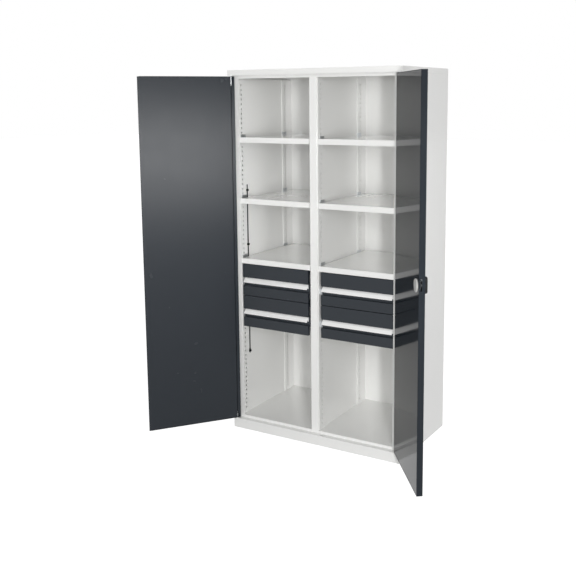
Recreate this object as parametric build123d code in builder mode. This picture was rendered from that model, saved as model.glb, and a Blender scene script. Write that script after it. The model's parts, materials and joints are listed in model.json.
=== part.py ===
from build123d import *
import os
from math import cos, radians, sin

# Two-bay steel tool cabinet with wing doors.  Millimetres, +Z up, the front faces -Y.
# The origin is on the floor, under the middle of the body.

os.makedirs("parts", exist_ok=True)

# ---------------------------------------------------------------- body
width = 1000.0               # outside width of the body
depth = 580.0                # outside depth of the body
height = 1950.0              # floor to the top of the cover
sheet = 1.5                  # steel sheet of the body
thin_sheet = 1.2             # steel sheet of shelves, doors and drawers
touch_gap = 0.5              # gap between a panel and the fold that it drops into

door_recess = 31.0           # from the body's front plane back to its stiles
cover_height = 28.0          # skirt of the top cover
lintel_drop = 16.0           # lip behind the doors' top edge
plinth_height = 54.0         # floor to the ledge under the doors
floor_rise = 14.0            # from the ledge up to the floor panel
stile_width = 50.0           # face of a side panel's front fold
stile_hem = 12.0             # the same fold's hem, turned flat behind it
rear_fold = 30.0             # side panel's fold behind the back panel
post_width = 41.0            # centre post between the bays
post_return = 30.0           # centre post's side legs
rail_flange = 30.0           # flanges of the plinth's rails
bearer_width = 60.0          # rail under the partition
rib_width = 30.0             # rib of the floor panel on that rail

# ---------------------------------------------------------------- uprights, shelves and clips
wall_depth = 38.0            # outside of a side panel to its uprights' face
upright_width = 62.0         # width of an upright
upright_stand = 3.0          # how far the uprights stand off the partition and the inner walls
front_hole_inset = 69.0      # body's front plane to the front row of holes
rear_hole_inset = 502.5      # body's front plane to the rear row of holes
hole_pitch = 25.0            # height from one hole to the next
hole_height = 11.0
hole_width = 9.0
hole_margin = 30.0           # from an upright's end to its last hole
shelf_thickness = 28.0
shelf_tops = (1600.0, 1275.0, 950.0)
shelf_setback = 35.5         # body's front plane to a shelf's front edge
shelf_rear_gap = 7.0         # shelf to the back panel
shelf_wall_gap = 5.0         # inner wall to a shelf's widest edge
shelf_post_gap = 5.5         # partition to a shelf's inner edge
shelf_notch_gap = 9.0        # upright's face to the shelf's notch
shelf_notch_rear = 12.0      # upright's edge to the end of the shelf's notch
clip_width = 42.0
clip_shift = 11.0            # row of holes to the middle of a clip
clip_thickness = 2.0
clip_rise = 13.0             # clip above the shelf
clip_foot = 16.0             # clip under the shelf

# ---------------------------------------------------------------- drawers and slides
front_thickness = 18.0       # drawer front
front_width = 408.0
front_height = 171.0
front_gap = 3.0              # between fronts, and below the shelf
front_setback = 35.0         # body's front plane to a drawer front
front_lip = 14.0             # fold behind a drawer front's ends
recess_drop = 73.0           # front's top edge down to its grip recess
recess_height = 46.0
recess_depth = 15.0
rail_inset = 5.0             # front's end to the grip rail's end
rail_thickness = 2.5
rail_fillet = 0.8
rail_reach = 6.0             # grip rail in front of the drawer front
rail_fall = 23.0             # height of the slanted grip
rail_top_gap = 2.0           # recess's upper edge to the rail
tray_length = 500.0
tray_height = 132.0
tray_rise = 12.0             # front's lower edge to the tray's bottom
slide_room = 19.0            # side space that a slide fills
slide_height = 45.0
slide_leg = 11.0             # width of each slide profile
slide_gap = 0.4              # running gap between slide profiles
slide_rise = 66.0            # front's lower edge to the slide's middle
slide_setback = 54.0         # body's front plane to the slide's front end
slide_web_gap = 2.5          # between the webs of slide profiles
stile_clearance = 1.0        # between a stile and the slides that run past it
spacer_height = 30.0         # spacer between an upright and its slide
drawer_rows = 2

# ---------------------------------------------------------------- interlock
rod_diameter = 6.0
interlock_y_from_upright = 6.0   # front upright's rear edge to the rod
interlock_bottom = 403.0
interlock_top = 1343.0
guide_heights = (1313.0, 1015.0, 414.0)
guide_height = 10.0
guide_block = 12.0           # side of a guide block
running_gap = 0.05           # radial clearance of a running fit
collar_diameter = 10.0
collar_height = 6.0
rest_gap = 0.3               # between a collar and the guide that it rests on
cam_block = 9.0              # side of a block that a drawer lifts
cam_block_height = 16.0

# ---------------------------------------------------------------- doors
door_thickness = 28.0
door_sheet = 1.25
door_gap = 3.0               # between the closed doors
door_top_gap = 4.0
door_bottom_gap = 3.5
open_angle = 127.0           # doors at rest, from closed
pivot_inset = 15.5           # door's hinge edge to the pivot
pivot_depth = 10.5           # door's outer face to the pivot
hinge_thickness = 23.0       # door beside its hinge edge
hinge_zone = 20.5            # hinge edge to the inner panel
hinge_lip = 17.0             # fold over the hinge bolts
bolt_diameter = 8.0
bolt_reach = 8.0             # hinge bolt beyond the bush's plate
upper_bolt_length = 42.0     # hinge bolt inside the door
lower_bolt_length = 24.0
bolt_head_diameter = 11.0
bolt_head_height = 3.0
bush_wall = 2.0
bush_flange = 2.0            # bush's flange beyond its sleeve
bush_flange_height = 2.5
strip_base = 24.0            # overlap strip on the left door
strip_reach = 12.5           # the same strip beyond the door's free edge
strip_thickness = 1.2
strip_joggle = 0.5

# ---------------------------------------------------------------- lock in the right door
lock_inset = 50.0            # free edge to the lock's spindle
lock_height = 1000.0
crank_radius = 10.0
crank_pin = 5.0
crank_start = -45.0          # crank angle with the lock open
pin_spacing = 90.0           # angle from one crank pin to the next
yoke_play = 0.65             # slot clearance round a crank pin
yoke_margin = 3.3            # metal round a yoke's slot
rod_width = 16.0
rod_thickness = 4.0
rod_depth = 15.0             # door's outer face to the middle of the rods
rod_shoulder = 24.0          # lock's spindle to the rods' full width
rod_shoulder_height = 8.0
rod_hold_back = 2.0          # open rod ends inside the door's edge
rod_slot_gap = 0.8
latch_gap = 0.5
latch_height = 26.0
latch_rise = 11.0            # lock's spindle to the latch's middle
latch_hold_back = 6.0        # open latch inside the door's edge
latch_slot_height = 54.0
latch_slot_room = 4.0        # slot beyond the latch, towards the outer face
cam_thickness = 3.0
cam_diameter = 30.0
hub_diameter = 14.0
spindle_side = 7.0
case_sheet = 2.0
case_hinge_side = 26.0       # spindle to the case's web
case_free_side = 30.0        # spindle to the case's open end
case_half_height = 48.0
boss_diameter = 20.0
boss_height = 2.5
rosette_diameter = 84.0
rosette_height = 8.0
rosette_fillet = 3.0
handle_length = 76.0
handle_width = 26.0
handle_height = 13.0
handle_fillet = 6.0
handle_gap = 0.3             # turning grip to its rosette
cylinder_diameter = 12.0
cylinder_proud = 0.8
keyway_length = 7.0
keyway_width = 1.6
keyway_depth = 2.0
cover_diameter = 60.0
cover_thickness = 4.0
cover_fillet = 1.5
guide_wall = 2.0
guide_length = 20.0
near_guide = 180.0           # lock's spindle to the near rod guides
far_guide = 170.0            # door's edge to the far rod guides
ledge_slot_margin = 2.3

# ---------------------------------------------------------------- derived places
front_y = -depth / 2
rear_y = depth / 2
half_width = width / 2
stile_y = front_y + door_recess
cover_bottom = height - cover_height
lintel_bottom = cover_bottom - lintel_drop
floor_top = plinth_height + floor_rise
back_y = rear_y - 2 * sheet
half_post = post_width / 2
side_face = half_width - wall_depth
post_face = half_post + upright_stand
wall_face = side_face + upright_stand
bay_middle = (side_face + post_face) / 2
bay_half = (side_face - post_face) / 2
upright_rows = (front_y + front_hole_inset, front_y + rear_hole_inset)
hole_count = int((lintel_bottom - floor_top - 2 * hole_margin) // hole_pitch) + 1
slide_spacer = side_face - half_width + stile_width + stile_clearance - sheet - slide_web_gap
slide_far = bay_half - slide_spacer
tray_half = slide_far - slide_room
tray_front = front_y + front_setback + front_thickness
slide_front = front_y + slide_setback
drawer_top = shelf_tops[-1] - shelf_thickness - front_gap
drawer_pitch = front_height + front_gap
door_bottom = plinth_height + door_bottom_gap
door_top = cover_bottom - door_top_gap
door_width = half_width - door_gap / 2
outer_v = -pivot_depth
inner_v = door_thickness - pivot_depth
hinge_v = hinge_thickness - pivot_depth
skin_v = outer_v + door_sheet
bolt_radius = bolt_diameter / 2
lock_s = door_width - lock_inset
rod_v = rod_depth - pivot_depth
crank_side = crank_radius * cos(radians(crank_start))
crank_drop = crank_radius * sin(radians(crank_start))
lock_travel = -2 * crank_drop


# ---------------------------------------------------------------- shared shapes
def block(low, high, mode=Mode.ADD):
    """Box between two opposite corners."""
    middle = [(a + b) / 2 for a, b in zip(low, high)]
    size = [abs(b - a) for a, b in zip(low, high)]
    with Locations(tuple(middle)):
        Box(*size, mode=mode)


def folded_sheet(plane, points, length, thickness=sheet, side=Side.LEFT):
    """Folded sheet: its outer surface follows points, and it runs along the plane's normal."""
    with BuildSketch(plane) as section:
        with BuildLine():
            Polyline(*points)
            offset(amount=thickness, side=side, kind=Kind.INTERSECTION)
        make_face()
    extrude(section.sketch, amount=length)


def prism(plane, points, length, mode=Mode.ADD):
    """Solid with a polygon for its section, along the plane's normal."""
    with BuildSketch(plane) as section:
        with BuildLine():
            Polyline(*points, close=True)
        make_face()
    extrude(section.sketch, amount=length, mode=mode)


def rod(plane, radius, length, mode=Mode.ADD):
    """Round bar or hole along the plane's normal."""
    with BuildSketch(plane) as section:
        Circle(radius)
    extrude(section.sketch, amount=length, mode=mode)


def save(builder, name):
    """Label a finished piece and write it out."""
    builder.part.label = name
    export_step(builder.part, f"parts/{name}.step")


def along_x(x):
    """Plane across the cabinet: its own x is the cabinet's Y, its y is Z, its normal is X."""
    return Plane(origin=(x, 0, 0), x_dir=(0, 1, 0), z_dir=(1, 0, 0))


def flat_at(x, y, z):
    """Level plane with its origin at a point."""
    return Plane(origin=(x, y, z), x_dir=(1, 0, 0), z_dir=(0, 0, 1))


# ---------------------------------------------------------------- plinth and floor
ledge_slot_x = half_width - lock_s
bush_radius = bolt_radius + running_gap + bush_wall
pivot_x = half_width - pivot_inset
pivot_y = front_y + pivot_depth


def c_rail(plane, width_y, length, flange):
    """Rail with its web on the plane's y axis and flanges on the floor and under the panel."""
    outline = ((flange, 0), (0, 0), (0, width_y), (flange, width_y))
    folded_sheet(plane, outline, length, side=Side.RIGHT)


def make_plinth():
    with BuildPart() as plinth:
        # front box: wall, ledge, back leg and closed ends
        section = (
            (front_y + rail_flange, 0),
            (front_y, 0),
            (front_y, plinth_height),
            (stile_y, plinth_height),
        )
        folded_sheet(along_x(-half_width), section, width, side=Side.RIGHT)
        for end in (-half_width, half_width - sheet):
            low = (end, front_y + sheet, sheet)
            block(low, (end + sheet, stile_y, plinth_height - sheet))
        slot = rod_width / 2 + ledge_slot_margin
        rod_y = front_y + rod_depth
        block(
            (ledge_slot_x - slot, rod_y - rod_thickness, plinth_height - sheet),
            (ledge_slot_x + slot, rod_y + rod_thickness, plinth_height),
            mode=Mode.SUBTRACT,
        )
        for side in (-1, 1):
            hole = flat_at(side * pivot_x, pivot_y, plinth_height - sheet)
            rod(hole, bush_radius, sheet, mode=Mode.SUBTRACT)
        # rear rail
        rear = Plane(origin=(-half_width + sheet, rear_y, 0), x_dir=(0, -1, 0), z_dir=(-1, 0, 0))
        c_rail(rear, plinth_height, -(width - 2 * sheet), rail_flange)
        # side rails inside the side panels
        rail_start = stile_y + sheet
        rail_length = rear_y - rail_flange - touch_gap - rail_start
        left = Plane(origin=(-half_width + sheet, rail_start, 0), x_dir=(1, 0, 0), z_dir=(0, -1, 0))
        c_rail(left, plinth_height, -rail_length, rail_flange)
        right = Plane(origin=(half_width - sheet, rail_start, 0), x_dir=(-1, 0, 0), z_dir=(0, 1, 0))
        c_rail(right, plinth_height, rail_length, rail_flange)
        # bearer under the partition
        half_bearer = bearer_width / 2
        bearer = Plane(origin=(0, rail_start, 0), x_dir=(1, 0, 0), z_dir=(0, -1, 0))
        outline = (
            (half_bearer, 0),
            (-half_bearer, 0),
            (-half_bearer, plinth_height),
            (half_bearer, plinth_height),
        )
        folded_sheet(bearer, outline, -rail_length, side=Side.RIGHT)
    save(plinth, "plinth")


def make_floor_panel():
    inner = half_width - sheet - touch_gap
    with BuildPart() as floor_panel:
        rear = back_y
        start = stile_y + sheet
        between_stiles = half_width - stile_width - touch_gap
        block((-inner, start, floor_top - sheet), (inner, rear, floor_top))
        block((-between_stiles, stile_y, floor_top - sheet), (between_stiles, start, floor_top))
        block((-between_stiles, stile_y, plinth_height), (between_stiles, start, floor_top - sheet))
        block((-inner, rear - sheet, plinth_height), (inner, rear, floor_top - sheet))
        for side in (-1, 1):
            edge = side * inner
            block((edge, start, plinth_height), (edge - side * sheet, rear, floor_top - sheet))
            rib = side * rib_width / 2
            block((rib, start, plinth_height), (rib - side * sheet, rear, floor_top - sheet))
    save(floor_panel, "floor_panel")


# ---------------------------------------------------------------- body panels
def make_side_panel(side, name):
    with BuildPart() as panel:
        outer = side * half_width
        skin = outer - side * sheet
        block((outer, stile_y, 0), (skin, rear_y, cover_bottom))
        stile = outer - side * stile_width
        block((skin, stile_y, 0), (stile, stile_y + sheet, cover_bottom))
        block(
            (stile, stile_y + sheet, floor_top),
            (stile + side * stile_hem, stile_y + 2 * sheet, lintel_bottom),
        )
        block((skin, rear_y - sheet, floor_top), (outer - side * rear_fold, rear_y, cover_bottom))
    save(panel, name)


def make_top_cover():
    with BuildPart() as top_cover:
        block((-half_width, front_y, cover_bottom), (half_width, rear_y, height))
        block(
            (-half_width + sheet, front_y + sheet, cover_bottom),
            (half_width - sheet, rear_y - sheet, height - sheet),
            mode=Mode.SUBTRACT,
        )
    save(top_cover, "top_cover")


def make_lintel():
    span = half_width - sheet
    with BuildPart() as lintel:
        flange_top = cover_bottom + sheet
        block((-span, front_y + sheet, cover_bottom), (span, stile_y + sheet, flange_top))
        lip = half_width - stile_width - touch_gap
        block((-lip, stile_y, lintel_bottom), (lip, stile_y + sheet, cover_bottom))
        slot = rod_width / 2 + ledge_slot_margin
        rod_y = front_y + rod_depth
        block(
            (ledge_slot_x - slot, rod_y - rod_thickness, cover_bottom),
            (ledge_slot_x + slot, rod_y + rod_thickness, flange_top),
            mode=Mode.SUBTRACT,
        )
        for side in (-1, 1):
            hole = flat_at(side * pivot_x, pivot_y, cover_bottom)
            rod(hole, bush_radius, sheet, mode=Mode.SUBTRACT)
    save(lintel, "lintel")


def make_back_panel():
    inner = half_width - sheet - touch_gap
    with BuildPart() as back_panel:
        block((-inner, back_y, floor_top), (inner, rear_y - sheet, cover_bottom))
    save(back_panel, "back_panel")


def make_centre():
    with BuildPart() as centre_post:
        section = (
            (-half_post, stile_y + post_return),
            (-half_post, stile_y),
            (half_post, stile_y),
            (half_post, stile_y + post_return),
        )
        folded_sheet(flat_at(0, 0, floor_top), section, lintel_bottom - floor_top)
    save(centre_post, "centre_post")
    with BuildPart() as centre_partition:
        for side in (-1, 1):
            face = side * half_post
            start = stile_y + post_return
            block((face, start, floor_top), (face - side * thin_sheet, back_y, cover_bottom))
            for row_y in upright_rows:
                cut_holes(face, row_y, upright_stand - sheet / 2)
    save(centre_partition, "centre_partition")


def cut_holes(x, row_y, reach):
    """One row of holes through the sheet at x."""
    middle = floor_top + hole_margin + (hole_count - 1) * hole_pitch / 2
    start = Plane(origin=(x - reach, row_y, middle), x_dir=(0, 1, 0), z_dir=(1, 0, 0))
    with BuildSketch(start) as pattern:
        with GridLocations(hole_pitch, hole_pitch, 1, hole_count):
            Rectangle(hole_width, hole_height)
    extrude(pattern.sketch, amount=2 * reach, mode=Mode.SUBTRACT)


def inner_wall_outline():
    """Inner wall of a side, folded in one piece with its rear upright."""
    half = upright_width / 2
    wall = half_width - sheet
    front = upright_rows[0] + half + touch_gap
    rear = back_y - touch_gap
    return (
        (wall, front),
        (wall_face, front),
        (wall_face, upright_rows[-1] - half),
        (side_face, upright_rows[-1] - half),
        (side_face, upright_rows[-1] + half),
        (wall_face, upright_rows[-1] + half),
        (wall_face, rear),
        (wall, rear),
    )


def make_uprights(row_y, name):
    """Perforated uprights of one row: on both side panels and both faces of the partition."""
    half = upright_width / 2
    bottom = floor_top
    top = lintel_bottom
    with BuildPart() as uprights:
        for side in (-1, 1):
            for wall, face in ((half_width - sheet, side_face), (half_post, post_face)):
                section = (
                    (wall, row_y - half),
                    (face, row_y - half),
                    (face, row_y + half),
                    (wall, row_y + half),
                )
                if face == side_face and row_y == upright_rows[-1]:
                    section = inner_wall_outline()
                turn = Side.RIGHT if side * (wall - face) > 0 else Side.LEFT
                points = [(side * x, y) for x, y in section]
                folded_sheet(flat_at(0, 0, bottom), points, top - bottom, side=turn)
        for side in (-1, 1):
            for face in (side_face, post_face):
                cut_holes(side * face, row_y, upright_stand - sheet / 2)
    save(uprights, name)


# ---------------------------------------------------------------- shelves and clips
def make_shelf(side, top, name):
    outer = wall_face - shelf_wall_gap
    notch = side_face - shelf_notch_gap
    inner = half_post + shelf_post_gap
    start = front_y + shelf_setback
    end = back_y - shelf_rear_gap
    half = upright_width / 2
    front_notch = upright_rows[0] + half + shelf_notch_rear
    rear_notch = upright_rows[1] - half - shelf_notch_gap
    outline = (
        (inner, start),
        (notch, start),
        (notch, front_notch),
        (outer, front_notch),
        (outer, rear_notch),
        (notch, rear_notch),
        (notch, end),
        (inner, end),
    )
    with BuildPart() as shelf:
        with BuildSketch(Plane.XY.offset(top - shelf_thickness)):
            with BuildLine():
                Polyline(*[(side * x, y) for x, y in outline], close=True)
            make_face()
        extrude(amount=shelf_thickness)
        with BuildSketch(Plane.XY.offset(top - shelf_thickness)):
            with BuildLine():
                Polyline(*[(side * x, y) for x, y in outline], close=True)
            make_face()
            offset(amount=-thin_sheet, kind=Kind.INTERSECTION)
        extrude(amount=shelf_thickness - thin_sheet, mode=Mode.SUBTRACT)
    save(shelf, name)


def make_shelf_clips():
    """Bent clips: plate on the upright, foot under the shelf, hook in a hole."""
    half = clip_width / 2
    with BuildPart() as shelf_clips:
        for side in (-1, 1):
            for row_y, towards in zip(upright_rows, (1, -1)):
                start = row_y + towards * clip_shift - half
                end = start + clip_width
                for face, inward in ((side_face, -1), (post_face, 1)):
                    for top in shelf_tops:
                        low = top - shelf_thickness - clip_thickness
                        wall = side * face
                        plate = wall + side * inward * clip_thickness
                        foot = wall + side * inward * clip_foot
                        block((wall, start, low), (plate, end, top + clip_rise))
                        block((plate, start, low), (foot, end, low + clip_thickness))
    save(shelf_clips, "shelf_clips")


# ---------------------------------------------------------------- hinge bushes
def make_hinge_bushes():
    with BuildPart() as hinge_bushes:
        bore = bolt_radius + running_gap
        flange = bush_radius + bush_flange
        for side in (-1, 1):
            for plate, direction in ((plinth_height - sheet, 1), (cover_bottom + sheet, -1)):
                start = flat_at(side * pivot_x, pivot_y, plate)
                rod(start, bush_radius, direction * (sheet + bush_flange_height))
                collar = flat_at(side * pivot_x, pivot_y, plate + direction * sheet)
                rod(collar, flange, direction * bush_flange_height)
                rod(start, bore, direction * (sheet + bush_flange_height), mode=Mode.SUBTRACT)
    save(hinge_bushes, "hinge_bushes")


# ---------------------------------------------------------------- drawers
def drawer_base(row):
    """Height of a drawer front's lower edge; row 0 is the upper drawer."""
    return drawer_top - row * drawer_pitch - front_height


def bay_centre(side):
    return side * bay_middle


def slide_section(near, far, half_height, opens_in):
    """C section of a slide; near and far are its edges, measured from the bay's middle."""
    web, tip = (far, near) if opens_in else (near, far)
    return ((tip, -half_height), (web, -half_height), (web, half_height), (tip, half_height))


def slide_pair(side, row, near, far, half_height, opens_in):
    """The same slide profile at both sides of one drawer."""
    level = drawer_base(row) + slide_rise
    section = slide_section(near, far, half_height, opens_in)
    for hand in (-1, 1):
        plane = Plane(origin=(bay_centre(side), slide_front, level), x_dir=(hand, 0, 0), z_dir=(0, -hand, 0))
        turn = Side.LEFT if opens_in else Side.RIGHT
        folded_sheet(plane, section, -hand * tray_length, side=turn)


def slide_spacers(side, row):
    """Spacers from the uprights to the fixed members, so that the slides run clear of the stile."""
    level = drawer_base(row) + slide_rise
    half_spacer = spacer_height / 2
    for hand in (-1, 1):
        near = bay_centre(side) + hand * slide_far
        far = bay_centre(side) + hand * bay_half
        for y in upright_rows:
            start = max(y - upright_width / 2, slide_front)
            block((near, start, level - half_spacer), (far, y + upright_width / 2, level + half_spacer))


def make_slides(side_names):
    """Fixed members of all slides with their spacers, then each drawer's middle and inner members."""
    outer_half = slide_height / 2
    middle_half = outer_half - sheet - slide_gap
    inner_half = middle_half - sheet - slide_gap
    middle_far = slide_far - sheet - slide_web_gap
    with BuildPart() as slide_outer:
        for side in side_names:
            for row in range(drawer_rows):
                slide_pair(side, row, slide_far - slide_leg, slide_far, outer_half, True)
                slide_spacers(side, row)
    save(slide_outer, "slide_outer_members")
    for side, bay in side_names.items():
        for row, level in enumerate(("upper", "lower")):
            with BuildPart() as slide_middle:
                slide_pair(side, row, middle_far - slide_leg, middle_far, middle_half, True)
            save(slide_middle, f"slide_middle_{bay}_{level}")
            with BuildPart() as slide_inner:
                slide_pair(side, row, tray_half, tray_half + slide_leg, inner_half, False)
            save(slide_inner, f"slide_inner_{bay}_{level}")


def make_tray(side, row, name):
    base = drawer_base(row) + tray_rise
    centre = bay_centre(side)
    with BuildPart() as tray:
        tray_rear = tray_front + tray_length
        top = base + tray_height
        block((centre - tray_half, tray_front, base), (centre + tray_half, tray_rear, top))
        block(
            (centre - tray_half + thin_sheet, tray_front + thin_sheet, base + thin_sheet),
            (centre + tray_half - thin_sheet, tray_rear - thin_sheet, top),
            mode=Mode.SUBTRACT,
        )
    save(tray, name)


def front_outline(row):
    """Outer surface of a drawer front in section, from its upper to its lower back edge."""
    base = drawer_base(row)
    top = base + front_height
    face = front_y + front_setback
    recess = face + recess_depth
    recess_top = top - recess_drop
    recess_bottom = recess_top - recess_height
    return (
        (tray_front, top),
        (face, top),
        (face, recess_top),
        (recess, recess_top),
        (recess, recess_bottom),
        (face, recess_bottom),
        (face, base),
        (tray_front, base),
    )


def make_drawer_front(side, row, name):
    start = bay_centre(side) - front_width / 2
    with BuildPart() as drawer_front:
        outline = front_outline(row)
        folded_sheet(along_x(start), outline, front_width, thickness=thin_sheet)
        for end, inward in ((start, 1), (start + front_width, -1)):
            prism(along_x(end), outline, inward * thin_sheet)
            base = drawer_base(row)
            block(
                (end, tray_front - thin_sheet, base),
                (end + inward * front_lip, tray_front, base + front_height),
            )
    save(drawer_front, name)


def make_grip_rail(side, row, name):
    """Extruded rail: flange in the recess and a lip that slants forward and down."""
    start = bay_centre(side) - front_width / 2 + rail_inset
    face = front_y + front_setback
    back = face + recess_depth
    top = drawer_base(row) + front_height - recess_drop - rail_top_gap
    lip_front = face - rail_reach
    section = (
        (back, top),
        (back - rail_thickness, top),
        (lip_front, top - rail_fall),
        (lip_front, top - rail_fall - rail_thickness),
        (lip_front + rail_thickness, top - rail_fall - rail_thickness),
        (back - rail_thickness, top - 2 * rail_thickness),
        (back - rail_thickness, top - rail_fall),
        (back, top - rail_fall),
    )
    with BuildPart() as grip_rail:
        prism(along_x(start), section, front_width - 2 * rail_inset)
        tips = grip_rail.edges().filter_by(Axis.X).group_by(Axis.Y)[0]
        fillet(tips, radius=rail_fillet)
    save(grip_rail, name)


# ---------------------------------------------------------------- drawer interlock
def interlock_plane(side, z):
    x = side * (wall_face - guide_block / 2)
    y = upright_rows[0] + upright_width / 2 + interlock_y_from_upright
    return flat_at(x, y, z)


def make_interlock_rod(side, name):
    with BuildPart() as interlock_rod:
        rod(interlock_plane(side, interlock_bottom), rod_diameter / 2, interlock_top - interlock_bottom)
        rests = guide_heights[-1] + guide_height / 2 + rest_gap
        rod(interlock_plane(side, rests), collar_diameter / 2, collar_height)
        for row in range(drawer_rows):
            level = drawer_base(row) + slide_rise - cam_block_height / 2
            with BuildSketch(interlock_plane(side, level)) as cam_section:
                Rectangle(cam_block, cam_block)
            extrude(cam_section.sketch, amount=cam_block_height)
    save(interlock_rod, name)


def make_interlock_guides():
    with BuildPart() as interlock_guides:
        for side in (-1, 1):
            for level in guide_heights:
                with BuildSketch(interlock_plane(side, level - guide_height / 2)) as guide_section:
                    Rectangle(guide_block, 2 * interlock_y_from_upright)
                    Circle(rod_diameter / 2 + running_gap, mode=Mode.SUBTRACT)
                extrude(guide_section.sketch, amount=guide_height)
    save(interlock_guides, "interlock_guides")


# ---------------------------------------------------------------- doors
def door_plane(side, z=0.0):
    """Level plane at a door's pivot: x runs along the open door, y from its outer to its inner face."""
    swing = side * open_angle
    pivot = (side * pivot_x, pivot_y, z)
    return Plane(origin=pivot, x_dir=(cos(radians(swing)), sin(radians(swing)), 0), z_dir=(0, 0, 1))


def along_door(side, s):
    """Place on a door's x axis for a distance from its hinge edge."""
    return -side * (s - pivot_inset)


def door_block(side, s_range, v_range, z_range, mode=Mode.ADD):
    low = (along_door(side, s_range[0]), v_range[0], z_range[0])
    high = (along_door(side, s_range[1]), v_range[1], z_range[1])
    block(low, high, mode)


def door_cross_plane(side, s, v, z):
    """Upright plane on a door with its normal from the outer to the inner face."""
    base = door_plane(side)
    origin = base.from_local_coords(Vector(along_door(side, s), v, z))
    return Plane(origin=origin, x_dir=base.x_dir * -side, z_dir=base.y_dir)


def make_door_pan(side, name):
    """Outer skin with folded edges; thinner beside the hinge, with a lip over the hinge bolts."""
    full = (outer_v, inner_v)
    with BuildPart(door_plane(side)) as pan:
        door_block(side, (0, door_width), (outer_v, skin_v), (door_bottom, door_top))
        door_block(side, (0, door_sheet), (skin_v, hinge_v), (door_bottom, door_top))
        door_block(side, (door_sheet, hinge_lip), (hinge_v - door_sheet, hinge_v), (door_bottom, door_top))
        free = door_width - door_sheet
        door_block(side, (free, door_width), (skin_v, inner_v), (door_bottom, door_top))
        for low, high in ((door_bottom, door_bottom + door_sheet), (door_top - door_sheet, door_top)):
            door_block(side, (door_sheet, hinge_zone), (skin_v, hinge_v), (low, high))
            door_block(side, (hinge_zone, free), (skin_v, inner_v), (low, high))
        # windows in the lip, so that the hinge bolts can be drawn back
        window = (hinge_lip - bolt_diameter, hinge_lip)
        lip = (hinge_v - door_sheet, hinge_v)
        upper = (door_top - upper_bolt_length, door_top - door_sheet)
        lower = (door_bottom + door_sheet, door_bottom + lower_bolt_length)
        door_block(side, window, lip, upper, mode=Mode.SUBTRACT)
        door_block(side, window, lip, lower, mode=Mode.SUBTRACT)
        # bolt carriers across the hinge zone, and the bolts' holes
        carrier = 2 * door_sheet
        upper_carrier = door_top - upper_bolt_length
        lower_carrier = door_bottom + lower_bolt_length
        for low in (upper_carrier - carrier, lower_carrier):
            across = (door_sheet, hinge_zone)
            door_block(side, across, (skin_v, hinge_v - door_sheet), (low, low + carrier))
        hole = bolt_radius + running_gap
        rod(door_plane(side, door_bottom), hole, lower_bolt_length + carrier, mode=Mode.SUBTRACT)
        start = upper_carrier - carrier
        rod(door_plane(side, start), hole, door_top - start, mode=Mode.SUBTRACT)
        # latch slot in the free edge
        cut_latch_slot(side, (free, door_width))
        if side > 0:
            cut_rod_slot((door_bottom, door_bottom + door_sheet))
            cut_rod_slot((door_top - door_sheet, door_top))
            spindle = door_cross_plane(side, lock_s, outer_v, lock_height)
            rod(spindle, hub_diameter / 2, door_sheet, mode=Mode.SUBTRACT)
    save(pan, name)


def latch_range():
    """The latch's two faces, from the pivot's plane."""
    start = rod_v + rod_thickness / 2 + latch_gap
    return start, start + rod_thickness


def cut_latch_slot(side, s_range):
    """Slot for the latch in a sheet of either door."""
    latch_v = latch_range()
    level = lock_height + latch_rise
    half_slot = latch_slot_height / 2
    v_range = (latch_v[0] - latch_slot_room, latch_v[1] + latch_gap)
    door_block(side, s_range, v_range, (level - half_slot, level + half_slot), mode=Mode.SUBTRACT)


def cut_rod_slot(z_range):
    """Slot for a locking rod in a sheet of the right door."""
    half_rod = rod_width / 2 + rod_slot_gap
    half_slot = rod_thickness / 2 + rod_slot_gap
    s_range = (lock_s - half_rod, lock_s + half_rod)
    door_block(1, s_range, (rod_v - half_slot, rod_v + half_slot), z_range, mode=Mode.SUBTRACT)


def make_door_inner_panel(side, name):
    """Tray that closes the door's inner face and stands on the outer skin."""
    low = door_bottom + door_sheet + touch_gap
    high = door_top - door_sheet - touch_gap
    near = hinge_zone + touch_gap
    far = door_width - door_sheet - touch_gap
    wall = door_sheet
    with BuildPart(door_plane(side)) as inner_panel:
        door_block(side, (near, far), (skin_v, inner_v), (low, high))
        door_block(
            side,
            (near + wall, far - wall),
            (skin_v, inner_v - wall),
            (low + wall, high - wall),
            mode=Mode.SUBTRACT,
        )
        cut_latch_slot(side, (far - wall, far))
        if side > 0:
            cut_rod_slot((low, low + wall))
            cut_rod_slot((high - wall, high))
    save(inner_panel, name)


def make_hinge_bolts(side, name):
    """Spring-loaded bolts on which the door turns, one at the top and one at the bottom."""
    carrier = 2 * door_sheet
    with BuildPart(door_plane(side)) as hinge_bolts:
        top = cover_bottom + sheet + bolt_reach
        start = door_top - upper_bolt_length - carrier - bolt_head_height
        rod(door_plane(side, start), bolt_radius, top - start)
        rod(door_plane(side, start), bolt_head_diameter / 2, bolt_head_height)
        bottom = plinth_height - sheet - bolt_reach
        end = door_bottom + lower_bolt_length + carrier + bolt_head_height
        rod(door_plane(side, bottom), bolt_radius, end - bottom)
        rod(door_plane(side, end - bolt_head_height), bolt_head_diameter / 2, bolt_head_height)
    save(hinge_bolts, name)


def make_overlap_strip(side, name):
    """Folded strip on the left door's inner face, which the right door closes on."""
    low = door_bottom + door_sheet
    high = door_top - door_sheet
    start = door_width - strip_base
    bend = door_width - door_sheet
    tip = door_width + strip_reach
    step = inner_v + strip_joggle
    outline = ((start, inner_v), (bend, inner_v), (bend, step), (tip, step))
    with BuildPart() as strip:
        points = [(along_door(side, s), v) for s, v in outline]
        turn = Side.LEFT if side < 0 else Side.RIGHT
        folded_sheet(door_plane(side, low), points, high - low, thickness=strip_thickness, side=turn)
    save(strip, name)


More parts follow.
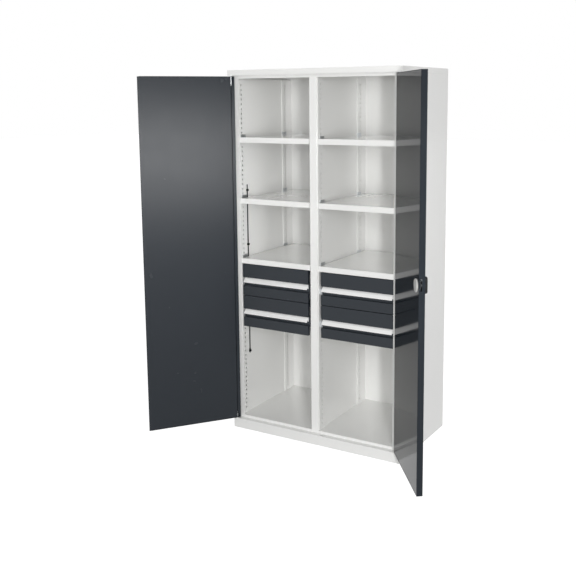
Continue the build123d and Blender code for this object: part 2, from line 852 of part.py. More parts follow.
# ---------------------------------------------------------------- lock
def lock_block(s_range, v_range, z_range, mode=Mode.ADD):
    """Block in the right door, measured from the lock's spindle."""
    door_block(
        1,
        (lock_s + s_range[0], lock_s + s_range[1]),
        v_range,
        (lock_height + z_range[0], lock_height + z_range[1]),
        mode,
    )


def lock_plane(v):
    return door_cross_plane(1, lock_s, v, lock_height)


def make_locking_rod(towards, name):
    """Flat rod with a slotted yoke beside the crank; towards is 1 for the upper rod, -1 for the lower."""
    faces = (rod_v - rod_thickness / 2, rod_v + rod_thickness / 2)
    pin = crank_pin / 2 + yoke_play
    near = crank_side - pin
    far = crank_radius + pin
    hand = -towards
    pin_z = towards * crank_drop
    edge = far + yoke_margin
    shoulder = towards * rod_shoulder
    with BuildPart(door_plane(1)) as locking_rod:
        yoke = pin + yoke_margin
        inner_edge = near - yoke_margin / 2
        lock_block((hand * inner_edge, hand * edge), faces, (pin_z - yoke, pin_z + yoke))
        lock_block((hand * near, hand * far), faces, (pin_z - pin, pin_z + pin), mode=Mode.SUBTRACT)
        lock_block((hand * far, hand * edge), faces, (pin_z, shoulder))
        end = shoulder + towards * rod_shoulder_height
        lock_block((-hand * rod_width / 2, hand * edge), faces, (shoulder, end))
        reach = door_top - rod_hold_back if towards > 0 else door_bottom + rod_hold_back
        lock_block((-rod_width / 2, rod_width / 2), faces, (end, reach - lock_height))
    save(locking_rod, name)


def make_latch():
    """Latch bolt with an upright slot round the third crank pin."""
    pin = crank_pin / 2 + yoke_play
    pin_s = crank_drop
    slot_low = crank_side - pin
    slot_high = crank_radius + pin
    low = latch_rise - latch_height / 2
    high = latch_rise + latch_height / 2
    reach = lock_inset - latch_hold_back
    with BuildPart(door_plane(1)) as latch:
        yoke = pin + yoke_margin
        faces = latch_range()
        lock_block((pin_s - yoke, reach), faces, (low, high))
        lock_block((pin_s - yoke, pin_s + yoke), faces, (slot_low - yoke_margin / 2, high))
        lock_block((pin_s - pin, pin_s + pin), faces, (slot_low, slot_high), mode=Mode.SUBTRACT)
    save(latch, "latch_bolt")


def make_lock_cam():
    """Hub, crank disc with three pins and the square spindle that the handle turns."""
    disc_v = rod_v - rod_thickness / 2 - latch_gap - cam_thickness
    with BuildPart() as lock_cam:
        rod(lock_plane(skin_v), hub_diameter / 2 - running_gap, disc_v - skin_v)
        rod(lock_plane(disc_v), cam_diameter / 2, cam_thickness)
        # pins for the upper rod, the lower rod and the latch
        pin_start = disc_v + cam_thickness
        rod_end = rod_v + rod_thickness / 2
        latch_end = latch_range()[1]
        upper = crank_start - pin_spacing
        lower = crank_start + pin_spacing
        latch = lower + pin_spacing
        for angle, end in ((upper, rod_end), (lower, rod_end), (latch, latch_end)):
            s = lock_s + crank_radius * cos(radians(angle))
            z = lock_height + crank_radius * sin(radians(angle))
            rod(door_cross_plane(1, s, pin_start, z), crank_pin / 2, end - pin_start)
        spindle_start = outer_v - rosette_height - handle_gap - handle_height / 2
        with BuildSketch(lock_plane(spindle_start)) as square:
            Rectangle(spindle_side, spindle_side)
        extrude(square.sketch, amount=skin_v - spindle_start)
    save(lock_cam, "lock_cam")


def make_lock_case():
    """Open housing: front plate with a bearing boss, web, and a back plate that guides the latch."""
    sides = (-case_hinge_side, case_free_side)
    tall = (-case_half_height, case_half_height)
    back = latch_range()[1] + rest_gap
    with BuildPart(door_plane(1)) as lock_case:
        lock_block(sides, (skin_v, skin_v + case_sheet), tall)
        lock_block((-case_hinge_side, -case_hinge_side + case_sheet), (skin_v, back + case_sheet), tall)
        lock_block(sides, (back, back + case_sheet), tall)
        rod(lock_plane(skin_v + case_sheet), boss_diameter / 2, boss_height)
        rod(lock_plane(skin_v), hub_diameter / 2, case_sheet + boss_height, mode=Mode.SUBTRACT)
    save(lock_case, "lock_case")


def make_rod_guides():
    """Bridges that hold the locking rods against sagging, standing on the outer skin."""
    half = rod_width / 2 + rest_gap
    near = rod_v - rod_thickness / 2 - rest_gap
    far = rod_v + rod_thickness / 2 + rest_gap
    wall = half + guide_wall
    levels = (near_guide, door_top - far_guide - lock_height, -near_guide, door_bottom + far_guide - lock_height)
    with BuildPart(door_plane(1)) as rod_guides:
        for level in levels:
            z_range = (level - guide_length / 2, level + guide_length / 2)
            lock_block((-wall, wall), (skin_v, far + guide_wall), z_range)
            lock_block((-half, half), (near, far), z_range, mode=Mode.SUBTRACT)
    save(rod_guides, "rod_guides")


def make_lock_handle():
    """Turning grip with rounded ends on the outside of the door."""
    start = outer_v - rosette_height - handle_gap
    with BuildPart() as lock_handle:
        with BuildSketch(lock_plane(start)) as grip:
            SlotOverall(handle_length, handle_width, rotation=90)
        extrude(grip.sketch, amount=-handle_height)
        outer_face = lock_handle.faces().sort_by(lock_axis())[0]
        fillet(outer_face.edges(), radius=handle_fillet)
        with BuildSketch(lock_plane(start)) as square:
            Rectangle(spindle_side, spindle_side)
        extrude(square.sketch, amount=-handle_height / 2, mode=Mode.SUBTRACT)
        seat = lock_plane(start - handle_height)
        rod(seat, cylinder_diameter / 2 + running_gap, handle_height / 2, mode=Mode.SUBTRACT)
    save(lock_handle, "lock_handle")
    with BuildPart() as rosette:
        rod(lock_plane(outer_v), rosette_diameter / 2, -rosette_height)
        rim = rosette.faces().sort_by(lock_axis())[0]
        fillet(rim.edges(), radius=rosette_fillet)
        rod(lock_plane(outer_v), hub_diameter / 2, -rosette_height, mode=Mode.SUBTRACT)
    save(rosette, "lock_rosette")
    with BuildPart() as lock_cylinder:
        face = start - handle_height - cylinder_proud
        rod(lock_plane(face), cylinder_diameter / 2, handle_height / 2 + cylinder_proud)
        with BuildSketch(lock_plane(face)) as keyway:
            Rectangle(keyway_width, keyway_length)
        extrude(keyway.sketch, amount=keyway_depth, mode=Mode.SUBTRACT)
    save(lock_cylinder, "lock_cylinder")


def lock_axis():
    """Line through the lock's spindle, from the outer to the inner face."""
    plane = lock_plane(outer_v)
    return Axis(plane.origin, plane.z_dir)


def make_inner_cover():
    with BuildPart() as inner_cover:
        rod(lock_plane(inner_v), cover_diameter / 2, cover_thickness)
        face = inner_cover.faces().sort_by(lock_axis())[-1]
        fillet(face.edges(), radius=cover_fillet)
    save(inner_cover, "lock_inner_cover")


# ---------------------------------------------------------------- build
bays = {-1: "left", 1: "right"}

make_plinth()
make_floor_panel()
make_side_panel(-1, "side_panel_left")
make_side_panel(1, "side_panel_right")
make_top_cover()
make_lintel()
make_back_panel()
make_centre()
make_uprights(upright_rows[0], "front_uprights")
make_uprights(upright_rows[1], "rear_uprights")
for bay_side, bay_name in bays.items():
    for shelf_top, shelf_level in zip(shelf_tops, ("upper", "middle", "lower")):
        make_shelf(bay_side, shelf_top, f"shelf_{bay_name}_{shelf_level}")
    for drawer_row, drawer_level in enumerate(("upper", "lower")):
        make_tray(bay_side, drawer_row, f"drawer_tray_{bay_name}_{drawer_level}")
        make_drawer_front(bay_side, drawer_row, f"drawer_front_{bay_name}_{drawer_level}")
        make_grip_rail(bay_side, drawer_row, f"grip_rail_{bay_name}_{drawer_level}")
    make_interlock_rod(bay_side, f"interlock_rod_{bay_name}")
    make_door_pan(bay_side, f"{bay_name}_door_pan")
    make_door_inner_panel(bay_side, f"{bay_name}_door_inner_panel")
    make_hinge_bolts(bay_side, f"{bay_name}_door_hinge_bolts")
make_slides(bays)
make_shelf_clips()
make_hinge_bushes()
make_interlock_guides()
make_overlap_strip(-1, "door_overlap_strip")
make_locking_rod(1, "upper_locking_rod")
make_locking_rod(-1, "lower_locking_rod")
make_latch()
make_lock_cam()
make_lock_case()
make_rod_guides()
make_lock_handle()
make_inner_cover()
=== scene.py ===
"""Light grey two-bay tool cabinet with anthracite wing doors, dressed over its solid model."""

import bmesh
import bpy
import json
from math import cos, radians, sin
from mathutils import Matrix, Vector


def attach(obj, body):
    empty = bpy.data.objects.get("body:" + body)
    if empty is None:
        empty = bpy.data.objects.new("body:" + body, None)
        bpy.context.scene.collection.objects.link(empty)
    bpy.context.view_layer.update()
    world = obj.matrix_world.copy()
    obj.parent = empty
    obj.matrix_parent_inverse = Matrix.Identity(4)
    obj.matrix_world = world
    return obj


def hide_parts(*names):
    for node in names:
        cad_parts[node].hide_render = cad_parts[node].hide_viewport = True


bl_info = {
    "name": "Tool Cabinet",
    "version": (1, 0, 0),
    "blender": (4, 2, 0),
    "location": "View3D > Sidebar > Cabinet",
    "description": "Finishes, rounded folds and studio for a steel tool cabinet",
    "category": "Object",
}

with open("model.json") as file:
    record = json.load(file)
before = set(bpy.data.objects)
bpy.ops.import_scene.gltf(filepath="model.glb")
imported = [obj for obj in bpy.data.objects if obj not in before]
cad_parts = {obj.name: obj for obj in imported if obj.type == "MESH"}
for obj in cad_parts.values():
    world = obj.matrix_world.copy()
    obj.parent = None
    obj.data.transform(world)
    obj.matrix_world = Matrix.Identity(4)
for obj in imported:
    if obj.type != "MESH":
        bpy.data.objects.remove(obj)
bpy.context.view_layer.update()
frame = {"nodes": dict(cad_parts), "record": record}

# ------------------------------------------------------------------ fixed values
# folds: how a fold's edge is told from a cut edge, and how finely it is rounded
SAME_POINT = 1e-6                # metres between the loose triangles' shared corners
FLAT_WITHIN = radians(0.4)       # turn between two faces that are one flat sheet
FOLD_FROM = radians(30.0)        # least turn of a folded edge
WIDER_THAN_CUT = 0.004           # metres; a cut edge is only as wide as the sheet is thick
FOLD_SEGMENTS = 3

# studio: seamless white paper under a soft, even light
FLOOR_REACH = 30.0               # metres from the middle to the paper's edge
FLOOR_DROP = 0.0006              # metres; keeps the paper clear of the plinth's underside
FLOOR_LIFT = 0.93                # the paper's own white, for the rays that look at it
SKY_LEVEL = 0.38
WHITE = (1.0, 1.0, 1.0, 1.0)
OPEN_BEAM = 180.0                # degrees; a lamp without a grid

LAMPS = {
    "key": {
        "place": (3.2, -4.7, 1.5),
        "target": (0.0, 0.0, 1.1),
        "size": (0.3, 2.6),
        "watts": 122.0,
        "beam": OPEN_BEAM,
    },
    "fill": {
        "place": (2.4, -4.2, 2.3),
        "target": (0.0, 0.0, 1.1),
        "size": (2.2, 3.2),
        "watts": 70.0,
        "beam": OPEN_BEAM,
    },
    # its soft glow lies on the left door and misses the cabinet's side
    "side": {
        "place": (3.15, -2.25, 1.3),
        "target": (-0.63, -0.48, 1.25),
        "size": (1.6, 0.75),
        "watts": 1.8,
        "beam": 28.0,
    },
}

IMAGE_PX = 576
SENSOR_MM = 36.0
CAMERA = {
    "place": (2.1596, -3.9459, 1.8015),
    "yaw": 30.5,
    "pitch": 8.3,
    "roll": -0.4,
    "lens_px": 847.2,
    "centre_px": (311.5, 222.0),
}


# ------------------------------------------------------------------ settings
def linear(code):
    """Linear RGB of an sRGB hex colour."""
    parts = [int(code[i : i + 2], 16) / 255 for i in (1, 3, 5)]
    return tuple(c / 12.92 if c <= 0.04045 else ((c + 0.055) / 1.055) ** 2.4 for c in parts)


def colour(label, text, code):
    return bpy.props.FloatVectorProperty(
        name=label, description=text, default=linear(code), size=3, min=0.0, max=1.0, subtype="COLOR"
    )


def length(label, text, metres):
    return bpy.props.FloatProperty(
        name=label, description=text, default=metres, min=0.0, subtype="DISTANCE", unit="LENGTH"
    )


def factor(label, text, value):
    return bpy.props.FloatProperty(
        name=label, description=text, default=value, min=0.0, max=1.0, subtype="FACTOR"
    )


class CabinetColours(bpy.types.PropertyGroup):
    """Colours of the cabinet's finishes."""

    body: colour("Body", "Light grey powder coat of the body and the shelves", "#F3F3F1")
    doors: colour("Doors", "Anthracite powder coat of the wing doors", "#262B31")
    fronts: colour("Drawer fronts", "Anthracite powder coat of the drawer fronts", "#2A2F35")
    rails: colour("Grip rails", "Natural anodised aluminium", "#FBFBFA")
    zinc: colour("Zinc", "Bright zinc plated steel", "#C3C6C9")
    # the interlock rods' own dark steel, which is also put on the latch bolt as painted shade for the shade
    # inside the lock's slot
    rods: colour("Interlock rods", "Blackened steel", "#1A1B1D")
    black: colour("Black plastic", "Moulded black ABS", "#0D0E10")
    white: colour("White plastic", "Moulded white ABS", "#E2E2E0")
    nickel: colour("Nickel", "Nickel plated brass", "#C9C5BC")
    floor: colour("Floor", "Studio floor", "#9A9A9A")


class CabinetSizes(bpy.types.PropertyGroup):
    """Sizes that the dressing adds to the solids."""

    fold_radius: length("Fold radius", "Outer radius of the body's folded edges", 0.0022)
    door_radius: length("Door fold radius", "Outer radius of the doors' folded edges", 0.0026)
    shelf_radius: length("Shelf fold radius", "Outer radius of the shelves' folded edges", 0.002)
    peel: length("Powder texture", "Width of the powder coat's ripples", 0.005)
    gloss: factor("Door roughness", "Roughness of the right door's powder coat", 0.1)


# ------------------------------------------------------------------ nodes
def add(tree, kind, settings=None, **inputs):
    """Adds a shader node; an input is a value, or the socket of another node to link."""
    made = tree.nodes.new(kind)
    for key, value in (settings or {}).items():
        setattr(made, key, value)
    for key, value in inputs.items():
        # "_0" is the first socket by number, and any other key is a socket's name
        socket = made.inputs[int(key[1:])] if key[1:].isdigit() else made.inputs[key.replace("_", " ")]
        if isinstance(value, bpy.types.NodeSocket):
            tree.links.new(value, socket)
        else:
            socket.default_value = value
    return made


def new_material(name):
    made = bpy.data.materials.new(name)
    made.use_nodes = True
    made.node_tree.nodes.clear()
    return made, made.node_tree


def finish_tree(tree, shader):
    add(tree, "ShaderNodeOutputMaterial", Surface=shader.outputs["BSDF"])


def tinted(tree, place, base, clouds_per_metre, spread):
    """Base colour with a slow, faint drift, as a sprayed coat or a plated skin has."""
    ramp_from, ramp_to = 0.3, 0.7
    drift = add(tree, "ShaderNodeTexNoise", Vector=place, Scale=clouds_per_metre, Detail=2.0)
    shades = add(tree, "ShaderNodeValToRGB", Fac=drift.outputs["Fac"])
    for stop, share in zip(shades.color_ramp.elements, (1 - spread, 1 + spread)):
        stop.color = (*[min(c * share, 1.0) for c in base], 1.0)
    shades.color_ramp.elements[0].position = ramp_from
    shades.color_ramp.elements[1].position = ramp_to
    return shades.outputs["Color"]


# ------------------------------------------------------------------ finishes
def powder_coat(name, base, roughness, ripple, height, specular=0.5, lacquer=0.0):
    # polyester powder, sprayed and baked: an even colour with a fine orange peel.
    # The real peel is about 1 mm wide; it is drawn wider so that it shows.
    tone_clouds_per_metre = 3.0
    gloss_clouds_per_metre = 14.0
    peel_depth = 0.0004
    gloss_drift = 0.12
    resin_ior = 1.5
    film_roughness = 0.06
    made, tree = new_material(name)
    place = add(tree, "ShaderNodeTexCoord").outputs["Object"]
    tint = tinted(tree, place, base, tone_clouds_per_metre, spread=0.012)
    peel = add(tree, "ShaderNodeTexNoise", Vector=place, Scale=1.0 / ripple, Detail=3.0)
    bump = add(
        tree, "ShaderNodeBump", Height=peel.outputs["Fac"], Strength=height, Distance=peel_depth
    )
    worn = add(tree, "ShaderNodeTexNoise", Vector=place, Scale=gloss_clouds_per_metre, Detail=3.0)
    rough = add(
        tree,
        "ShaderNodeMapRange",
        Value=worn.outputs["Fac"],
        To_Min=roughness * (1 - gloss_drift),
        To_Max=roughness * (1 + gloss_drift),
    )
    shader = add(
        tree,
        "ShaderNodeBsdfPrincipled",
        Base_Color=tint,
        Roughness=rough.outputs["Result"],
        Normal=bump.outputs["Normal"],
    )
    shader.inputs["IOR"].default_value = resin_ior
    shader.inputs["Specular IOR Level"].default_value = specular
    # the resin that melts to a smooth film over the pigment
    shader.inputs["Coat Weight"].default_value = lacquer
    shader.inputs["Coat Roughness"].default_value = film_roughness
    finish_tree(tree, shader)
    return made


def anodised_aluminium(name, base):
    # extruded, etched and anodised: a pale satin that is nearly matt, with die lines
    # along the bar, drawn 2 mm apart so that they show
    lines_per_metre = 500.0
    line_depth = 0.0002
    smoothest, roughest = 0.34, 0.46
    made, tree = new_material(name)
    place = add(tree, "ShaderNodeTexCoord").outputs["Object"]
    stretch = add(tree, "ShaderNodeMapping", Vector=place, Scale=(0.5, 1.0, 1.0))
    lines = add(
        tree, "ShaderNodeTexNoise", Vector=stretch.outputs["Vector"], Scale=lines_per_metre, Detail=1.0
    )
    bump = add(tree, "ShaderNodeBump", Height=lines.outputs["Fac"], Strength=0.12, Distance=line_depth)
    rough = add(
        tree, "ShaderNodeMapRange", Value=lines.outputs["Fac"], To_Min=smoothest, To_Max=roughest
    )
    shader = add(
        tree,
        "ShaderNodeBsdfPrincipled",
        Base_Color=tinted(tree, place, base, clouds_per_metre=8.0, spread=0.01),
        Metallic=0.1,
        Roughness=rough.outputs["Result"],
        Normal=bump.outputs["Normal"],
    )
    finish_tree(tree, shader)
    return made


def zinc_plate(name, base, roughness):
    # bright zinc: a cool metal with a faint cloudy spangle, about 8 mm across
    spangles_per_metre = 120.0
    made, tree = new_material(name)
    place = add(tree, "ShaderNodeTexCoord").outputs["Object"]
    cloud = add(tree, "ShaderNodeTexVoronoi", Vector=place, Scale=spangles_per_metre)
    rough = add(
        tree,
        "ShaderNodeMapRange",
        Value=cloud.outputs["Distance"],
        To_Min=roughness * 0.8,
        To_Max=roughness * 1.25,
    )
    shader = add(
        tree,
        "ShaderNodeBsdfPrincipled",
        Base_Color=tinted(tree, place, base, clouds_per_metre=25.0, spread=0.05),
        Metallic=1.0,
        Roughness=rough.outputs["Result"],
    )
    finish_tree(tree, shader)
    return made


def blackened_steel_and_painted_shade(name, base):
    # drawn rod, black oxide over bare steel: dark, half dull, with draw marks along it. The latch bolt
    # takes this dark finish too, and on it the dark is painted shade standing in for the shade inside the
    # lock's slot
    marks_per_metre = 900.0
    smoothest, roughest = 0.38, 0.55
    made, tree = new_material(name)
    place = add(tree, "ShaderNodeTexCoord").outputs["Object"]
    along = add(tree, "ShaderNodeMapping", Vector=place, Scale=(1.0, 1.0, 0.02))
    marks = add(
        tree, "ShaderNodeTexNoise", Vector=along.outputs["Vector"], Scale=marks_per_metre, Detail=2.0
    )
    rough = add(
        tree, "ShaderNodeMapRange", Value=marks.outputs["Fac"], To_Min=smoothest, To_Max=roughest
    )
    shader = add(
        tree,
        "ShaderNodeBsdfPrincipled",
        Base_Color=tinted(tree, place, base, clouds_per_metre=12.0, spread=0.08),
        Metallic=0.4,
        Roughness=rough.outputs["Result"],
    )
    finish_tree(tree, shader)
    return made


def moulded_abs(name, base, roughness, grain, specular=0.5):
    # injection-moulded ABS from a spark-eroded mould: a fine even grain
    grain_depth = 0.0003
    gloss_drift = 0.15
    abs_ior = 1.53
    made, tree = new_material(name)
    place = add(tree, "ShaderNodeTexCoord").outputs["Object"]
    pits = add(tree, "ShaderNodeTexNoise", Vector=place, Scale=1.0 / grain, Detail=2.0)
    bump = add(tree, "ShaderNodeBump", Height=pits.outputs["Fac"], Strength=0.25, Distance=grain_depth)
    rough = add(
        tree,
        "ShaderNodeMapRange",
        Value=pits.outputs["Fac"],
        To_Min=roughness * (1 - gloss_drift),
        To_Max=roughness * (1 + gloss_drift),
    )
    shader = add(
        tree,
        "ShaderNodeBsdfPrincipled",
        Base_Color=tinted(tree, place, base, clouds_per_metre=30.0, spread=0.04),
        Roughness=rough.outputs["Result"],
        Normal=bump.outputs["Normal"],
    )
    shader.inputs["IOR"].default_value = abs_ior
    shader.inputs["Specular IOR Level"].default_value = specular
    finish_tree(tree, shader)
    return made


def nickel_plate(name, base):
    # turned brass, nickel plated: close to a mirror, with fine turning marks
    marks_per_metre = 900.0
    smoothest, roughest = 0.12, 0.22
    made, tree = new_material(name)
    place = add(tree, "ShaderNodeTexCoord").outputs["Object"]
    marks = add(tree, "ShaderNodeTexNoise", Vector=place, Scale=marks_per_metre, Detail=1.0)
    rough = add(
        tree, "ShaderNodeMapRange", Value=marks.outputs["Fac"], To_Min=smoothest, To_Max=roughest
    )
    shader = add(
        tree,
        "ShaderNodeBsdfPrincipled",
        Base_Color=tinted(tree, place, base, clouds_per_metre=60.0, spread=0.03),
        Metallic=1.0,
        Roughness=rough.outputs["Result"],
    )
    finish_tree(tree, shader)
    return made


def finishes():
    """Every finish of the cabinet, made once and kept by name."""
    if "light_powder_coat" in bpy.data.materials:
        return bpy.data.materials
    tone = bpy.context.scene.cabinet_colours
    size = bpy.context.scene.cabinet_sizes
    flat_peel = 0.02
    powder_coat(
        "light_powder_coat",
        tone.body,
        roughness=0.22,
        ripple=size.peel,
        height=flat_peel,
        lacquer=1.0,
    )
    # the right door is the smoother one, and mirrors the shelves beside it
    powder_coat(
        "anthracite_gloss_coat",
        tone.doors,
        roughness=size.gloss,
        ripple=size.peel * 2,
        height=flat_peel,
        specular=0.12,
    )
    powder_coat(
        "anthracite_satin_coat",
        tone.doors,
        roughness=0.26,
        ripple=size.peel,
        height=flat_peel,
        specular=0.22,
    )
    powder_coat(
        "anthracite_coat",
        tone.fronts,
        roughness=0.3,
        ripple=size.peel,
        height=0.06,
        specular=0.3,
    )
    anodised_aluminium("anodised_aluminium", tone.rails)
    zinc_plate("zinc_plate", tone.zinc, roughness=0.3)
    blackened_steel_and_painted_shade("blackened_steel_and_painted_shade", tone.rods)
    moulded_abs("black_abs", tone.black, roughness=0.5, grain=0.002, specular=0.2)
    moulded_abs("white_abs", tone.white, roughness=0.32, grain=0.002)
    nickel_plate("nickel_plate", tone.nickel)
    return bpy.data.materials


SLOT_FINISH = {
    "body_grey": "light_powder_coat",
    "door_grey": "anthracite_gloss_coat",
    "rail_aluminium": "anodised_aluminium",
    "zinc_steel": "zinc_plate",
    # on the interlock rods this is their own blackened steel; on the latch bolt it is painted shade for the
    # shade inside the lock's slot
    "dark_steel": "blackened_steel_and_painted_shade",
    "black_plastic": "black_abs",
    "white_plastic": "white_abs",
    "nickel": "nickel_plate",
}


def node_slot(name):
    for entry in frame["record"]["subparts"]:
        if entry["node"] == name:
            return entry["material_slot"]
    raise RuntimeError(f"{name} has no material slot")


def body_with(name):
    for body, nodes in frame["record"]["behaviour"]["bodies"].items():
        if name in nodes:
            return body
    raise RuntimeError(f"{name} is in no body")


def finish_of(name):
    if name.startswith("drawer_front"):
        return finishes()["anthracite_coat"]
    if body_with(name) == "left_door" and node_slot(name) == "door_grey":
        return finishes()["anthracite_satin_coat"]
    return finishes()[SLOT_FINISH[node_slot(name)]]


# ------------------------------------------------------------------ rounded folds
def round_folds(name, radius):
    """Copy of a sheet-metal node with its outer folds rounded; it replaces the node."""
    source = frame["nodes"][name]
    shape = bmesh.new()
    shape.from_mesh(source.data)
    bmesh.ops.transform(shape, matrix=source.matrix_world, verts=shape.verts)
    bmesh.ops.remove_doubles(shape, verts=shape.verts, dist=SAME_POINT)
    bmesh.ops.dissolve_limit(
        shape, angle_limit=FLAT_WITHIN, use_dissolve_boundaries=False, verts=shape.verts, edges=shape.edges
    )
    folds = []
    for edge in shape.edges:
        if len(edge.link_faces) != 2 or not edge.is_convex or edge.calc_face_angle() < FOLD_FROM:
            continue
        run = edge.calc_length()
        # a fold has a wide face at both sides, and a cut edge has only the sheet's thickness at one
        if min(face.calc_area() for face in edge.link_faces) / run > WIDER_THAN_CUT:
            folds.append(edge)
    if not folds:
        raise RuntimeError(f"{name} has no folds to round")
    bmesh.ops.bevel(
        shape,
        geom=folds,
        offset=radius,
        offset_type="OFFSET",
        segments=FOLD_SEGMENTS,
        profile=0.5,
        affect="EDGES",
        clamp_overlap=True,
        material=-1,
    )
    bmesh.ops.triangulate(shape, faces=[f for f in shape.faces if len(f.verts) > 4])
    mesh = bpy.data.meshes.new(f"{name}_folded")
    shape.to_mesh(mesh)
    shape.free()
    piece = bpy.data.objects.new(f"{name}_folded", mesh)
    bpy.context.scene.collection.objects.link(piece)
    mesh.materials.append(finish_of(name))
    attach(piece, body_with(name))
    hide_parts(name)
    return piece


class CABINET_OT_finishes(bpy.types.Operator):
    """Give every solid of the cabinet its finish"""

    bl_idname = "cabinet.finishes"
    bl_label = "Finishes"

    def execute(self, context):
        for name, node in frame["nodes"].items():
            node.data.materials.clear()
            node.data.materials.append(finish_of(name))
        return {"FINISHED"}


class CABINET_OT_body(bpy.types.Operator):
    """Round the folds of the body, the plinth and the cover"""

    bl_idname = "cabinet.body"
    bl_label = "Body"

    def execute(self, context):
        radius = context.scene.cabinet_sizes.fold_radius
        for name in ("top_cover", "plinth", "side_panel_left", "side_panel_right", "centre_post", "lintel"):
            round_folds(name, radius)
        return {"FINISHED"}


class CABINET_OT_shelves(bpy.types.Operator):
    """Round the folds of the shelves"""

    bl_idname = "cabinet.shelves"
    bl_label = "Shelves"

    def execute(self, context):
        radius = context.scene.cabinet_sizes.shelf_radius
        for name in frame["nodes"]:
            if name.startswith("shelf_") and name != "shelf_clips":
                round_folds(name, radius)
        return {"FINISHED"}


class CABINET_OT_doors(bpy.types.Operator):
    """Round the folds of the wing doors"""

    bl_idname = "cabinet.doors"
    bl_label = "Doors"

    def execute(self, context):
        radius = context.scene.cabinet_sizes.door_radius
        for side in ("left", "right"):
            round_folds(f"{side}_door_pan", radius)
            round_folds(f"{side}_door_inner_panel", radius)
        return {"FINISHED"}


class CABINET_OT_drawers(bpy.types.Operator):
    """Round the folds of the drawers and their fronts"""

    bl_idname = "cabinet.drawers"
    bl_label = "Drawers"

    def execute(self, context):
        radius = context.scene.cabinet_sizes.shelf_radius
        for name in frame["nodes"]:
            if name.startswith("drawer_front") or name.startswith("drawer_tray"):
                round_folds(name, radius)
        return {"FINISHED"}


# ------------------------------------------------------------------ studio
def place_camera(scene):
    yaw, pitch, roll = (radians(CAMERA[key]) for key in ("yaw", "pitch", "roll"))
    ahead = Vector((-sin(yaw) * cos(pitch), cos(yaw) * cos(pitch), -sin(pitch)))
    right = Vector((cos(yaw), sin(yaw), 0.0))
    up = right.cross(ahead)
    turned_right = right * cos(roll) + up * sin(roll)
    turned_up = up * cos(roll) - right * sin(roll)
    turn = Matrix((turned_right, turned_up, -ahead)).transposed()
    data = bpy.data.cameras.new("camera")
    data.sensor_width = SENSOR_MM
    data.lens = CAMERA["lens_px"] * SENSOR_MM / IMAGE_PX
    half = IMAGE_PX / 2
    data.shift_x = (half - CAMERA["centre_px"][0]) / IMAGE_PX
    data.shift_y = (CAMERA["centre_px"][1] - half) / IMAGE_PX
    camera = bpy.data.objects.new("camera", data)
    camera.matrix_world = Matrix.Translation(CAMERA["place"]) @ turn.to_4x4()
    scene.collection.objects.link(camera)
    scene.camera = camera


def lamp(scene, name, place, target, size, watts, beam):
    data = bpy.data.lights.new(name, "AREA")
    data.shape = "RECTANGLE"
    data.size, data.size_y = size
    data.energy = watts
    # a grid in front of a lamp narrows its beam
    data.spread = radians(beam)
    made = bpy.data.objects.new(name, data)
    aim = Vector(target) - Vector(place)
    made.matrix_world = Matrix.Translation(place) @ aim.to_track_quat("-Z", "Y").to_matrix().to_4x4()
    made.visible_camera = False
    scene.collection.objects.link(made)


def seen_rays(tree):
    """1 for the rays that see the backdrop: straight, in a gloss or through a clear piece."""
    rays = add(tree, "ShaderNodeLightPath")
    straight = add(
        tree,
        "ShaderNodeMath",
        {"operation": "MAXIMUM"},
        _0=rays.outputs["Is Camera Ray"],
        _1=rays.outputs["Is Glossy Ray"],
    )
    seen = add(
        tree,
        "ShaderNodeMath",
        {"operation": "MAXIMUM"},
        _0=straight.outputs["Value"],
        _1=rays.outputs["Is Transmission Ray"],
    )
    return seen.outputs["Value"]


def lay_floor(scene):
    """Seamless white paper: matt, and white to every ray that looks at it where no shadow falls."""
    shape = bmesh.new()
    bmesh.ops.create_grid(shape, x_segments=1, y_segments=1, size=FLOOR_REACH)
    bmesh.ops.translate(shape, vec=(0.0, 0.0, -FLOOR_DROP), verts=shape.verts)
    mesh = bpy.data.meshes.new("studio_floor")
    shape.to_mesh(mesh)
    shape.free()
    ground = bpy.data.objects.new("studio_floor", mesh)
    scene.collection.objects.link(ground)
    made, tree = new_material("studio_paper")
    tone = scene.cabinet_colours.floor
    matt = add(tree, "ShaderNodeBsdfPrincipled", Base_Color=(*tone, 1.0), Roughness=0.9)
    lift = add(tree, "ShaderNodeMath", {"operation": "MULTIPLY"}, _0=seen_rays(tree), _1=FLOOR_LIFT)
    glow = add(tree, "ShaderNodeEmission", Color=WHITE, Strength=lift.outputs["Value"])
    both = add(tree, "ShaderNodeAddShader", _0=matt.outputs["BSDF"], _1=glow.outputs["Emission"])
    add(tree, "ShaderNodeOutputMaterial", Surface=both.outputs["Shader"])
    mesh.materials.append(made)


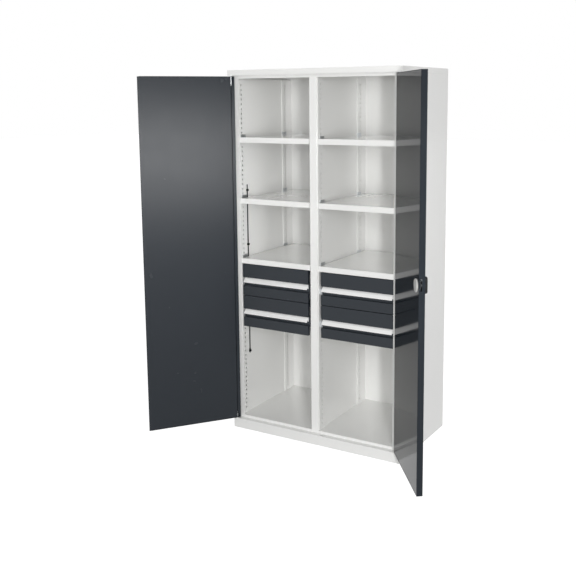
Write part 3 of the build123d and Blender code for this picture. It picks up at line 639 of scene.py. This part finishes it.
def light_world(scene):
    """A pale even sky, which is plain white to every ray that looks at it."""
    world = bpy.data.worlds.new("studio")
    scene.world = world
    world.use_nodes = True
    tree = world.node_tree
    tree.nodes.clear()
    light = add(tree, "ShaderNodeBackground", Color=WHITE, Strength=SKY_LEVEL)
    white = add(tree, "ShaderNodeBackground", Color=WHITE, Strength=1.0)
    mix = add(
        tree,
        "ShaderNodeMixShader",
        _0=seen_rays(tree),
        _1=light.outputs["Background"],
        _2=white.outputs["Background"],
    )
    add(tree, "ShaderNodeOutputWorld", Surface=mix.outputs["Shader"])


class CABINET_OT_stage(bpy.types.Operator):
    """Make the floor, the lights and the camera"""

    bl_idname = "cabinet.stage"
    bl_label = "Studio"

    def execute(self, context):
        lay_floor(context.scene)
        light_world(context.scene)
        for name, settings in LAMPS.items():
            lamp(context.scene, name, **settings)
        place_camera(context.scene)
        context.scene.view_settings.view_transform = "Standard"
        return {"FINISHED"}


class CABINET_PT_panel(bpy.types.Panel):
    """Cabinet tools"""

    bl_label = "Tool Cabinet"
    bl_space_type = "VIEW_3D"
    bl_region_type = "UI"
    bl_category = "Cabinet"

    def draw(self, context):
        for group in (context.scene.cabinet_colours, context.scene.cabinet_sizes):
            for key in group.bl_rna.properties.keys():
                if key not in ("rna_type", "name"):
                    self.layout.prop(group, key)
        for step in STEPS:
            self.layout.operator(step.bl_idname)


STEPS = (
    CABINET_OT_finishes,
    CABINET_OT_body,
    CABINET_OT_shelves,
    CABINET_OT_doors,
    CABINET_OT_drawers,
    CABINET_OT_stage,
)
CLASSES = (CabinetColours, CabinetSizes, *STEPS, CABINET_PT_panel)


def register():
    for kind in CLASSES:
        bpy.utils.register_class(kind)
    bpy.types.Scene.cabinet_colours = bpy.props.PointerProperty(type=CabinetColours)
    bpy.types.Scene.cabinet_sizes = bpy.props.PointerProperty(type=CabinetSizes)


def unregister():
    del bpy.types.Scene.cabinet_sizes
    del bpy.types.Scene.cabinet_colours
    for kind in reversed(CLASSES):
        bpy.utils.unregister_class(kind)


def main():
    register()
    for step in STEPS:
        group, action = step.bl_idname.split(".")
        getattr(getattr(bpy.ops, group), action)()


if __name__ == "__main__":
    main()
